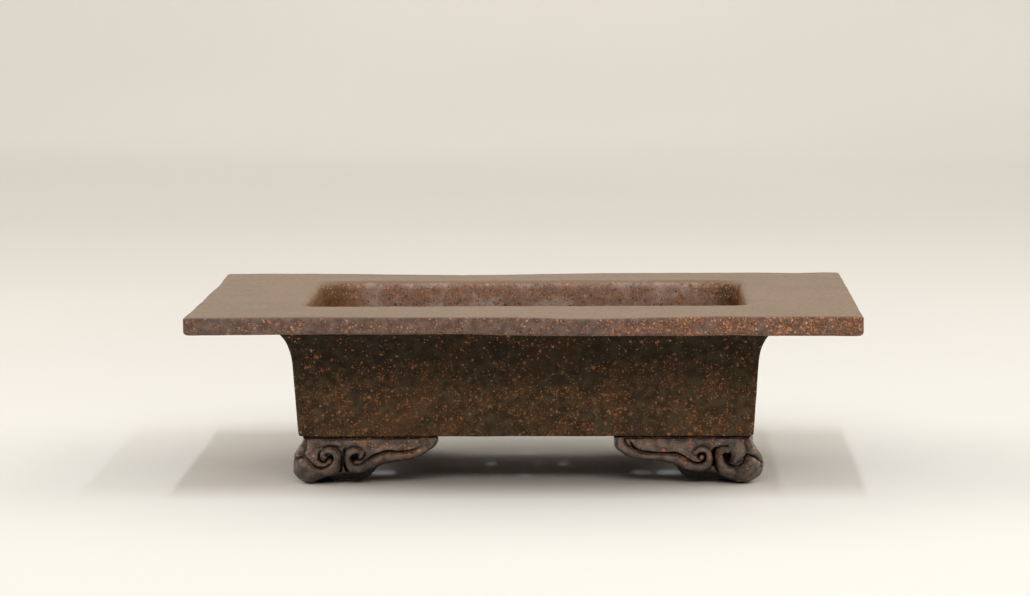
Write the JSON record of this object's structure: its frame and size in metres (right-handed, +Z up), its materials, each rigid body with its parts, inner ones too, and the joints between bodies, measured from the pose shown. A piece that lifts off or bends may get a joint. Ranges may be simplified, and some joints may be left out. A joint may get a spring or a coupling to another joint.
{
  "type": "bonsai pot",
  "caption": "Shallow rectangular stoneware bonsai pot with a wide flat overhanging lip, flared walls, drainage holes and carved scroll feet at the corners.",
  "frame": {"origin": "centre of the rectangle that the feet stand on, at ground level", "axes": "+X along the length, +Y from the front face to the back, +Z up"},
  "size_m": [0.4, 0.3, 0.1079],
  "materials": {
    "stoneware_body": "unglazed, rough, dark brown with orange and cream grog specks",
    "stoneware_lip": "unglazed, smoothed, dusty taupe brown, specks at the edges",
    "stoneware_feet": "unglazed, burnished satin, dark grey brown",
    "slip": "matt dark slip"
  },
  "bodies": {
    "root": {"floor_slab": "stoneware_body", "wall_front": "stoneware_body", "lip_front": "stoneware_lip", "wall_back": "stoneware_body", "lip_back": "stoneware_lip", "wall_left": "stoneware_body", "lip_left": "stoneware_lip", "wall_right": "stoneware_body", "lip_right": "stoneware_lip", "corner_coil_front_left": "stoneware_body", "slip_seam_front_left": "slip", "foot_front_left": "stoneware_feet", "corner_coil_front_right": "stoneware_body", "slip_seam_front_right": "slip", "foot_front_right": "stoneware_feet", "corner_coil_back_left": "stoneware_body", "slip_seam_back_left": "slip", "foot_back_left": "stoneware_feet", "corner_coil_back_right": "stoneware_body", "slip_seam_back_right": "slip", "foot_back_right": "stoneware_feet"}
  },
  "joints": []
}
